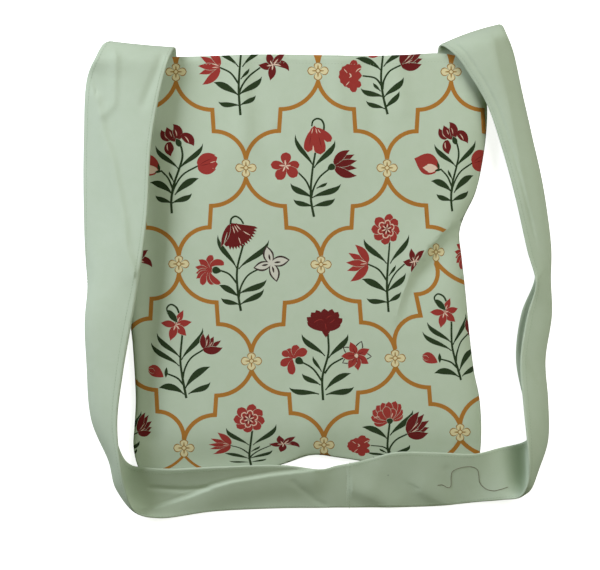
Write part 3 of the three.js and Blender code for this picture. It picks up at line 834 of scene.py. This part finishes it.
def boundaryLoop(faces):
    following = {}
    for face in faces:
        for a, b in zip(face, face[1:] + face[:1]):
            following[(a, b)] = True
    onward = {a: b for a, b in following if (b, a) not in following}
    loop = [next(iter(onward))]
    while onward[loop[-1]] != loop[0]:
        loop.append(onward[loop[-1]])
    return loop


def flatCut(outline, inside, shapes, creases):
    points = [tuple(p) for p in outline] + [tuple(p) for p in inside]
    faces = [list(range(len(outline)))]
    edges = []
    for _, shape, _ in shapes:
        shape = shape if signedArea(shape) > 0 else shape[::-1]
        faces.append(list(range(len(points), len(points) + len(shape))))
        points += [tuple(p) for p in shape]
    for line in creases:
        edges += chain(len(points), len(line))
        points += [tuple(p) for p in line]
    cut = delaunay_2d_cdt([Vector(p) for p in points], edges, faces, 1, 1e-4, True)
    kept = [(face, owners) for face, owners in zip(cut[2], cut[5]) if 0 in owners]
    used = sorted({v for face, _ in kept for v in face})
    renumber = {v: i for i, v in enumerate(used)}
    plan = np.array([cut[0][v] for v in used])
    return plan, [[renumber[v] for v in face] for face, _ in kept], [owners for _, owners in kept]


frontCut = {"across": 84, "up": 96, "innerAcross": 40, "innerUp": 44}


def panelGrid(acrossCount, upCount):
    across, up = stations(acrossCount, True, True), stations(upCount, True, False)
    edge = [(a, 0) for a in across] + [(1, u) for u in up[1:]] + [(a, 1) for a in across[::-1][1:]]
    edge += [(0, u) for u in up[::-1][1:-1]]
    inner = [(a, u) for a in across[1:-1] for u in up[1:-1]]
    return tuple(np.column_stack(panelPlan(*np.array(points).T)) for points in (edge, inner))


def frontPanel():
    outline, inside = panelGrid(frontCut["across"], frontCut["up"])
    shapes = wholePrint()
    pleat = panels["pleat"]["line"]
    plan, faces, owners = flatCut(outline, inside, shapes, [pleat])
    middles = np.array([plan[face].mean(axis=0) for face in faces])
    offset, share = lineSide(middles[:, 0], middles[:, 1], pleat)
    pleated = (share > 0) & (share < 1)
    colours = np.zeros((len(faces), 4))
    for k, mine in enumerate(owners):
        seen = [n for n in mine if n and (not pleated[k] or shapes[n - 1][2] == (offset[k] > 0))]
        ink = shapes[max(seen) - 1][0] if seen else "cloth"
        if inks[ink]:
            colours[k] = linear(inks[ink]) + (1,)
    x, y = plan.T
    outer = np.column_stack((x, y, frontHeight(x, y)))
    # the inner face: the same edge, a wall's thickness in
    loop = boundaryLoop(faces)
    _, innerPoints = panelGrid(frontCut["innerAcross"], frontCut["innerUp"])
    innerPlan, innerFaces, _ = flatCut(plan[loop], innerPoints, [], [])
    ix, iy = innerPlan.T
    inner = np.column_stack((ix, iy, frontHeight(ix, iy)))
    inner -= heightNormal(frontHeight, ix, iy) * hemmed(ix, iy)[:, None]
    inner[:, 2] = np.maximum(inner[:, 2], panels["seamHeight"] + panels["seamGap"] / 2)
    start = len(outer)
    innerLoop = boundaryLoop(innerFaces)
    nearest = int(np.argmin(np.linalg.norm(innerPlan[innerLoop] - plan[loop[0]], axis=1)))
    innerLoop = innerLoop[nearest:] + innerLoop[:nearest]
    rim = []
    for k in range(len(loop)):
        following = (k + 1) % len(loop)
        rim.append((loop[following], loop[k], start + innerLoop[k], start + innerLoop[following]))
    allFaces = faces + [[start + v for v in face[::-1]] for face in innerFaces] + rim
    piece = newPiece("frontPanel", np.vstack((outer, inner)) + shift, allFaces, printedCotton)
    ink = piece.data.attributes.new("ink", "FLOAT_COLOR", "CORNER")
    values = np.zeros((len(piece.data.loops), 4), np.float32)
    values[:3 * len(faces)] = np.repeat(colours, 3, axis=0)
    ink.data.foreach_set("color", values.ravel())
    print("front panel:", len(allFaces), "faces,", len(loop), "and", len(innerLoop), "points round its edges")
    return piece


def weaveMap(piece, coordinates):  # cloth coordinates in metres, one for each point
    layer = piece.data.uv_layers.new(name="weave")
    points = np.zeros(len(piece.data.loops), np.int32)
    piece.data.loops.foreach_get("vertex_index", points)
    layer.data.foreach_set("uv", (np.asarray(coordinates)[points] * mm).ravel().astype(np.float32))


def gridFaces(rows, columns, flip=False, start=0):
    faces = []
    for i in range(rows - 1):
        for j in range(columns - 1):
            a = start + i * columns + j
            face = (a, a + columns, a + columns + 1, a + 1)
            faces.append(face[::-1] if flip else face)
    return faces


def slabFaces(rows, columns):  # a top grid, a bottom grid and the four sides between them
    low = rows * columns
    faces = gridFaces(rows, columns) + gridFaces(rows, columns, True, low)
    edge = [(i, 0) for i in range(rows)] + [(rows - 1, j) for j in range(1, columns)]
    edge += [(i, columns - 1) for i in range(rows - 2, -1, -1)]
    edge += [(0, j) for j in range(columns - 2, 0, -1)]
    ids = [i * columns + j for i, j in edge]
    for a, b in zip(ids, ids[1:] + ids[:1]):
        faces.append((b, a, low + a, low + b))
    return faces


backCut = {"across": 60, "up": 66}


def backPanel():
    shares = stations(backCut["across"], True, True), stations(backCut["up"], True, False)
    across, up = np.meshgrid(*shares, indexing="ij")
    x, y = (v.ravel() for v in panelPlan(across, up))
    outer = np.column_stack((x, y, backHeight(x, y)))
    inner = outer + heightNormal(backHeight, x, y) * hemmed(x, y)[:, None]
    inner[:, 2] = np.minimum(inner[:, 2], panels["seamHeight"] - panels["seamGap"] / 2)
    piece = newPiece("backPanel", np.vstack((inner, outer)) + shift, slabFaces(*across.shape), backCotton)
    weaveMap(piece, np.column_stack((np.tile(x, 2), np.tile(y, 2))))
    return piece


front = frontPanel()
back = backPanel()
print("panels made")

# The strap: two lengths of doubled cotton. Each row is a section: inner edge, middle, outer edge.

baseRidge = [(-166, -237), (-126, -224), (-106, -215), (-86, -209), (-46, -202), (-4, -197)]
strap = {
    "wall": 2.0, "across": 56, "stepsPerRow": 20,
    "roundedFrom": 0.965, "edgeThinning": 0.75,  # the doubled cloth's edges
    "creaseFade": 0.7,                           # rows over which a crease begins and ends
    "left": [
        ((-140, 173, 8.5), (-161, 173, 8), (-180, 173, 6.8)),  # sewn end
        ((-139.5, 210, 8.5), (-161, 211, 8), (-180, 212, 6.8)),  # mouth
        ((-140.5, 222.5, 16), (-174.5, 225, 18), (-208.5, 228.5, 17)),  # crest
        ((-146, 211, 26.5), (-183, 211, 26), (-220.5, 211, 22)),  # over mouth
        ((-153, 186, 29), (-190, 189, 25), (-228.5, 193, 14)),  # shoulder
        ((-163.6, 126, 32), (-198, 129, 22), (-232.5, 133, 5)),  # upper side
        ((-167.6, 56, 33), (-201, 60, 20), (-232.8, 64, 3)),  # middle side
        ((-174.6, -1, 33.5), (-212, 1, 21.5), (-230, 5, 3)),  # curl starts
        ((-183.2, -53, 34.5), (-226, -49, 22), (-222, -43, 2.5)),  # curling
        ((-191.3, -100, 35.5), (-227.2, -98, 21), (-208, -91, 2)),  # half under
        ((-197, -149, 37), (-223, -149, 20), (-203, -155, 2)),  # rolled
        ((-194.5, -187, 37), (-206, -190, 18), (-194, -186, 2)),  # above corner
        ((-190, -214, 31), (-199, -216, 12), (-185.5, -194, 6)),  # corner
        ((-181, -239, 20), (-183, -229.5, 5), (-168, -196.5, 15)),  # past corner
        ((-159, -247, 8.5), (-156, -230, 4.2), (-146, -197.5, 16.5)),  # crossing
        ((-101, -241, 2), (-100, -220, 6.5), (-99, -195.5, 17)),  # over base
        ((-36, -238, 2), (-35, -217, 6.5), (-34, -194, 15)),  # off base
        ((6, -237.5, 2), (6, -219, 7), (6, -198, 13)),  # slack
        ((20, -237.2, 2), (20, -218, 7.6), (20, -194.6, 13.5)),  # beside seam
        ((30.95, -237.2, 2), (30.95, -217, 8), (30.95, -192.6, 14)),  # joining seam
    ],
    "right": [
        ((31, -237.2, 2), (31, -217, 8), (31, -192.6, 14)),  # joining seam
        ((39, -237.2, 2), (39.1, -216.2, 8.3), (39.3, -191, 14.4)),  # beside seam
        ((54, -237, 2), (55, -213, 10), (55, -187, 15)),  # climbing
        ((77, -237, 2), (78, -210, 10), (78, -181, 18)),  # onto base
        ((122, -235.5, 2), (122, -210, 11), (122, -181, 18)),  # over base
        ((162, -231.5, 5), (161, -207, 9.5), (159, -182.5, 15.5)),  # bag corner
        ((187, -229, 11), (187, -203, 9), (184, -177, 8)),  # off base
        ((203, -225, 20), (211, -211, 4), (207, -172, 2.5)),  # before corner
        ((210, -211, 31), (215, -212, 14), (213, -168, 2)),  # corner
        ((211, -193, 36), (222.5, -194, 18), (215, -161, 2)),  # above corner
        ((209, -169, 36), (230.5, -170, 18), (215, -149, 2)),  # rolled
        ((205.5, -129, 30), (231, -130, 15), (207, -123, 2)),  # doubled
        ((203, -91, 25), (228.5, -89, 13), (200.5, -87, 3)),  # bowed in
        ((210, -45, 22), (235, -43, 12), (206, -42, 3)),  # bowed out
        ((218.5, -13, 23), (234, -11, 13), (219, -9, 3)),  # pinch
        ((210, 21, 24), (233.5, 24, 16), (222, 31, 2.5)),  # opening
        ((198.5, 71, 26), (224, 75, 21), (224, 83, 3)),  # middle side
        ((184.5, 123, 26), (209, 130, 24), (215, 137, 4)),  # upper side
        ((170, 166, 25), (193, 175, 28), (205, 183, 8)),  # shoulder
        ((153, 195, 25), (177, 209, 32), (197, 217, 18)),  # over mouth
        ((139, 214.5, 24), (165, 228, 31), (190, 234, 26)),  # near crest
        ((124, 225, 16), (154, 237.2, 18), (184, 245.5, 18)),  # crest
        ((121.5, 217.5, 9.2), (147, 221, 9), (170, 225, 8)),  # under crest
        ((121, 209, 8.9), (143, 208, 8.2), (162, 206, 6.8)),  # mouth
        ((121, 173, 8.7), (143, 173, 8.2), (163, 173, 6.8)),  # sewn end
    ],
    # creases seen from above: the rows they lie between, their line, how high they are,
    # and how far they reach to its right and its left
    "leftCreases": [
        ((3, 9), [(-219, 172), (-213, 141), (-203, 111), (-197, 81), (-191, 51), (-189, 24), (-181, 0)],
         2.6, 13, 5),
        ((2, 6), [(-199, 213), (-201, 166), (-211, 156)], 1.3, 6, 4),
        ((2, 6), [(-154, 210), (-171, 166)], -1.3, 5, 5),
        ((13, 20), baseRidge, 2.2, 15, 1.4),
        ((13, 20), [(-150, -243), (-110, -232), (-86, -224), (-46, -217), (-4, -212)], 2.0, 12, 12),
        ((13, 20), baseRidge, -2.2, 1.8, 1.8),
        ((13, 20), [(-166, -217), (-132, -219), (-108, -217)], -1.2, 2.5, 2.5),
        ((13, 20), [(-23, -211), (0, -230), (8, -234)], -0.6, 3, 3),
    ],
    "rightCreases": [
        ((15.5, 20.5), [(176, 228), (180, 206), (190, 168), (201, 111), (211, 61)], 1.3, 10, 4),
        ((0, 4), [(26, -213), (32, -216), (54, -224), (74, -234)], 2.2, 8, 13),
        ((3, 6), [(106, -219), (130, -233)], 1.8, 6, 14),
        ((3, 6), [(131, -199), (136, -219), (140, -228)], -0.7, 6, 6),
        ((9, 15), [(219, -12), (210, -25), (202, -59), (201, -82), (210, -100), (223, -121), (230, -145)],
         1.4, 12, 4),
    ],
    # the doubled cloth's lower layer shows as a groove beside the right inner edge
    "layer": {"rows": (15, 21), "across": 0.14, "depth": 0.9, "width": 0.02},
}


def strapSurface(rows):  # smooth lines through the table, and across them the parabola through the three
    lines = [smoothLine([row[k] for row in rows]) for k in range(3)]

    def at(along, across):
        inner, middle, outer = (line(along) for line in lines)
        u = (2 * np.asarray(across) - 1)[:, None]
        return middle + u * (outer - inner) / 2 + u * u * ((inner + outer) / 2 - middle)

    return at


def between(row, first, last):  # 1 between two rows, fading at both
    fade = strap["creaseFade"]
    return np.clip((row - first) / fade, 0, 1) * np.clip((last - row) / fade, 0, 1)


def strapLength(name, rows, creases, finish, layer=None):
    surface = strapSurface(rows)
    steps, columns = (len(rows) - 1) * strap["stepsPerRow"] + 1, strap["across"] + 1
    shares = np.meshgrid(np.linspace(0, 1, steps), np.linspace(0, 1, columns), indexing="ij")
    along, across = (share.ravel() for share in shares)
    place = surface(along, across)
    nudge = 0.0015
    alongward = surface(along + nudge, across) - surface(along - nudge, across)
    before, after = np.maximum(across - nudge, 0), np.minimum(across + nudge, 1)
    normal = np.cross(alongward, surface(along, after) - surface(along, before))
    normal /= np.linalg.norm(normal, axis=1)[:, None]
    # creases lift the cloth straight up, so that its outline stays
    row = along * (len(rows) - 1)
    lift = np.zeros(len(along))
    for (first, last), line, height, rightReach, leftReach in creases:
        offset, _ = lineSide(place[:, 0], place[:, 1], line)
        reach = np.where(offset < 0, rightReach, leftReach)
        lift += height * between(row, first, last) * np.exp(-(offset / reach) ** 2)
    if layer:
        groove = np.exp(-((across - layer["across"]) / layer["width"]) ** 2)
        lift -= layer["depth"] * between(row, *layer["rows"]) * groove
    place[:, 2] += lift
    # the doubled cloth is rounded over at both edges
    rounding = np.clip((np.abs(2 * across - 1) - strap["roundedFrom"]) / (1 - strap["roundedFrom"]), 0, 1)
    half = normal * (strap["wall"] / 2 * np.sqrt(1 - strap["edgeThinning"] * rounding ** 2))[:, None]
    top, bottom = place + half, place - half
    piece = newPiece(name, np.vstack((top, bottom)) + shift, slabFaces(steps, columns), finish)
    # cloth coordinates: along the middle line, and across from it
    grid = place.reshape(steps, columns, 3)
    stepLengths = np.linalg.norm(np.diff(grid[:, columns // 2], axis=0), axis=1)
    middleRun = np.concatenate(([0], np.cumsum(stepLengths)))
    acrossRun = np.cumsum(np.linalg.norm(np.diff(grid, axis=1, prepend=grid[:, :1]), axis=2), axis=1)
    cloth = np.column_stack((np.repeat(middleRun, columns), (acrossRun - acrossRun[:, -1:] / 2).ravel()))
    weaveMap(piece, np.vstack((cloth, cloth)))
    size = (float(np.median(acrossRun[:, -1])) * mm, float(middleRun[-1]) * mm)
    print(name, "is", round(size[0], 4), "wide and", round(size[1], 3), "long")
    return piece, size, [face.reshape(steps, columns, 3) for face in (top, bottom)]


# the fleck's place and radius are in metres
fleck = {"at": (0.0708, -0.2039, 0.0118), "radius": 0.0016, "core": 0.4, "strength": 0.75, "colour": "4d5a4a"}
plainCotton = cottonFinish("plainCotton", marks=[fleck])
strapLeft, leftSize, leftFaces = strapLength(
    "strapLeft", strap["left"], strap["leftCreases"], plainCotton)
strapRight, rightSize, rightFaces = strapLength(
    "strapRight", strap["right"], strap["rightCreases"], plainCotton, strap["layer"])

# Stitches, in Geometry Nodes: one short thread again and again along a line

stitching = {
    "length": 2.4, "pitch": 3.2, "thread": 0.55,
    "edgeColumns": (3, -4), "seamRow": 7,         # where they run on the straps' grids
}


def stitchTree():
    tree = bpy.data.node_groups.new("stitchRow", "GeometryNodeTree")
    sockets = {}
    for name, kind in (("Line", "Geometry"), ("Pitch", "Float"), ("Length", "Float"), ("Thread", "Float"),
                       ("Finish", "Material")):
        socket = tree.interface.new_socket(name, in_out="INPUT", socket_type="NodeSocket" + kind)
        sockets[name] = socket.identifier
    tree.interface.new_socket("Stitches", in_out="OUTPUT", socket_type="NodeSocketGeometry")

    def node(kind, settings, inputs):
        return addNode(tree, kind, settings, inputs)

    given = tree.nodes.new("NodeGroupInput").outputs
    curve = node("GeometryNodeMeshToCurve", {}, {"Mesh": given["Line"]})
    even = node("GeometryNodeResampleCurve", {"mode": "LENGTH"},
                {"Curve": curve.outputs[0], "Length": given["Pitch"]})
    thread = node("GeometryNodeMeshUVSphere", {}, {"Segments": 8, "Rings": 6, "Radius": 0.5})
    size = node("ShaderNodeCombineXYZ", {}, {0: given["Length"], 1: given["Thread"], 2: given["Thread"]})
    tangent = node("GeometryNodeInputTangent", {}, {})
    turn = node("FunctionNodeAlignRotationToVector", {"axis": "X"}, {"Vector": tangent.outputs[0]})
    copies = node("GeometryNodeInstanceOnPoints", {}, {
        "Points": even.outputs[0], "Instance": thread.outputs[0],
        "Rotation": turn.outputs[0], "Scale": size.outputs[0]})
    real = node("GeometryNodeRealizeInstances", {}, {"Geometry": copies.outputs[0]})
    finished = node("GeometryNodeSetMaterial", {},
                    {"Geometry": real.outputs[0], "Material": given["Finish"]})
    node("NodeGroupOutput", {}, {0: finished.outputs[0]})
    return tree, sockets


stitchRow, stitchSockets = stitchTree()


def stitches(name, lines, finish):  # lines of points in the bag's millimetres
    points, edges = [], []
    for line in lines:
        edges += chain(len(points), len(line))
        points += list(np.asarray(line) + shift)
    mesh = bpy.data.meshes.new(name + "Line")
    mesh.from_pydata((np.array(points) * mm).tolist(), edges, [])
    maker = addObject(name + "Line", mesh)
    modifier = maker.modifiers.new("stitches", "NODES")
    modifier.node_group = stitchRow
    modifier[stitchSockets["Finish"]] = finish
    for key in ("Pitch", "Length", "Thread"):
        modifier[stitchSockets[key]] = stitching[key.lower()] * mm
    depsgraph = bpy.context.evaluated_depsgraph_get()
    made = bpy.data.meshes.new_from_object(maker.evaluated_get(depsgraph))
    made.name = name
    bpy.data.objects.remove(maker)
    made.shade_smooth()
    print(name, len(made.polygons), "faces")
    return addObject(name, made)


hem = {"below": 8.5, "sink": 0.2, "from": 0.03, "to": 0.97, "up": 0.98}


def hemLine():  # along the front's mouth
    across = np.linspace(hem["from"], hem["to"], 160)
    x, _ = panelPlan(across, np.full(len(across), hem["up"]))
    y = mouthLine(across) - hem["below"]
    return np.column_stack((x, y, frontHeight(x, y) - hem["sink"]))


def strapEdgeLines(faces):  # on both faces, close to both edges
    return [face[:, column] for face in faces for column in stitching["edgeColumns"]]


hemStitches = stitches("hemStitches", [hemLine()], sageThread)
leftStitches = stitches("strapLeftStitches", strapEdgeLines(leftFaces), sageThread)
rightStitches = stitches("strapRightStitches", strapEdgeLines(rightFaces), sageThread)
seamStitches = stitches("seamStitches", [face[stitching["seamRow"]] for face in rightFaces], sageThread)

# The loose thread that lies on the strap, lower right

looseThread = {
    "diameter": 0.5,
    "route": [(121.8, -214.3), (126, -213.8), (132.2, -216.9), (134.8, -215.6), (135.1, -207),
              (135.8, -201.6), (139, -198.5), (147.8, -195.8), (156.1, -195.8), (161.4, -198.7),
              (162.9, -204.4), (164.2, -212.2), (169.9, -217.9), (177.7, -220), (185.5, -218.2),
              (192, -216.1)],
}


def threadRoute():
    strapTree = BVHTree.FromPolygons([tuple(v.co) for v in strapRight.data.vertices],
                                     [tuple(p.vertices) for p in strapRight.data.polygons])
    plan = smoothLine(looseThread["route"])(np.linspace(0, 1, 90)) + shift[:2]
    above, down = 0.2, Vector((0, 0, -1))
    route = []
    for x, y in plan * mm:
        hit = strapTree.ray_cast(Vector((x, y, above)), down)[0]
        route.append((x, y, hit.z + looseThread["diameter"] / 2 * mm))
    return route


def threadPiece(route):
    curve = bpy.data.curves.new("looseThread", "CURVE")
    curve.dimensions = "3D"
    curve.bevel_depth = looseThread["diameter"] / 2 * mm
    curve.bevel_resolution = 2
    curve.use_fill_caps = True
    spline = curve.splines.new("POLY")
    spline.points.add(len(route) - 1)
    for point, place in zip(spline.points, route):
        point.co = (*place, 1)
    curve.materials.append(khakiThread)
    return addObject("looseThread", curve)


route = threadRoute()
loose = threadPiece(route)

# Every piece goes with the bag

sewOn(front, "front_panel")
sewOn(back, "back_panel")
sewOn(strapLeft, "strap_left")
sewOn(strapRight, "strap_right")
sewOn(hemStitches)
for piece in (leftStitches, rightStitches, seamStitches, loose):
    sewOn(piece)

# White table, soft low light from the upper left, a weaker one from the upper right, a camera straight above.
# Sizes and places are in metres, but floorDrop and middle are in the tables' millimetres.

studio = {
    "floor": 8.0, "floorDrop": 0.15, "floorColour": "f4f4f2", "floorGlow": 0.85,
    "floorGrain": 60.0, "floorRoughness": 0.75, "floorRoughnessSpread": 0.1, "floorSpecular": 0.1,
    "wallRadius": 3.5, "wallHeight": 3.0, "wallSides": 64,
    "sky": 0.11, "skyColour": (0.84, 1.0, 0.42),
    "key": {"at": (-1.256, 0.725, 0.676), "size": 0.7, "power": 19.4, "colour": (1.0, 1.0, 1.19)},
    "fill": {"at": (0.891, 0.514, 1.226), "size": 1.0, "power": 12.8, "colour": (1.03, 1.0, 1.03)},
    "cameraHeight": 2.6, "frameWidth": 0.6, "middle": (-16, -14), "plane": 0.012, "sensor": 36,
}


def floorFinish():
    finish = Finish("paleTable")
    place = finish.signal("ShaderNodeTexCoord", {}, {}, "Object")
    grain = finish.noise(place, studio["floorGrain"], 2.0)
    return finish.surface({
        "Base Color": linear(studio["floorColour"]) + (1,),
        "Roughness": studio["floorRoughness"] + grain * studio["floorRoughnessSpread"],
        "Specular IOR Level": studio["floorSpecular"],
        "Emission Color": (1, 1, 1, 1), "Emission Strength": studio["floorGlow"]})


def backdrop(finish):  # a pale wall right round the table that neither lights nor shades the bag
    turn = np.linspace(0, 2 * np.pi, studio["wallSides"], endpoint=False)
    foot = np.column_stack((np.cos(turn), np.sin(turn), np.zeros(len(turn)))) * studio["wallRadius"] / mm
    top = foot + (0, 0, studio["wallHeight"] / mm)
    count = len(turn)
    faces = [((k + 1) % count, k, count + k, count + (k + 1) % count) for k in range(count)]
    wall = newPiece("backdrop", np.vstack((foot, top)), faces, finish)
    wall.visible_diffuse = wall.visible_shadow = False


def buildStudio():
    scene = bpy.context.scene
    pale = floorFinish()
    half, low = studio["floor"] / 2 / mm, -studio["floorDrop"]
    corners = [(-half, -half, low), (half, -half, low), (half, half, low), (-half, half, low)]
    floor = newPiece("table", corners, [(0, 1, 2, 3)], pale)
    floor.visible_diffuse = False  # the table looks white but lends the bag no light
    backdrop(pale)
    for name in ("key", "fill"):
        given = studio[name]
        light = bpy.data.lights.new(name, "AREA")
        light.shape, light.size, light.energy = "DISK", given["size"], given["power"]
        light.color = given["colour"]
        lamp = addObject(name, light)
        lamp.location = given["at"]
        lamp.rotation_euler = (-Vector(given["at"])).to_track_quat("-Z", "Y").to_euler()
    world = bpy.data.worlds.new("studio")
    world.use_nodes = True
    background = world.node_tree.nodes["Background"].inputs
    background["Strength"].default_value = studio["sky"]
    background["Color"].default_value = (*studio["skyColour"], 1)
    scene.world = world
    scene.view_settings.view_transform = "Standard"
    lens = bpy.data.cameras.new("above")
    lens.sensor_fit, lens.sensor_width = "HORIZONTAL", studio["sensor"]
    lens.lens = studio["sensor"] * (studio["cameraHeight"] - studio["plane"]) / studio["frameWidth"]
    camera = addObject("above", lens)
    x, y = (np.array(studio["middle"]) + shift[:2]) * mm
    camera.location = (x, y, studio["cameraHeight"])
    scene.camera = camera


buildStudio()
print("studio set")
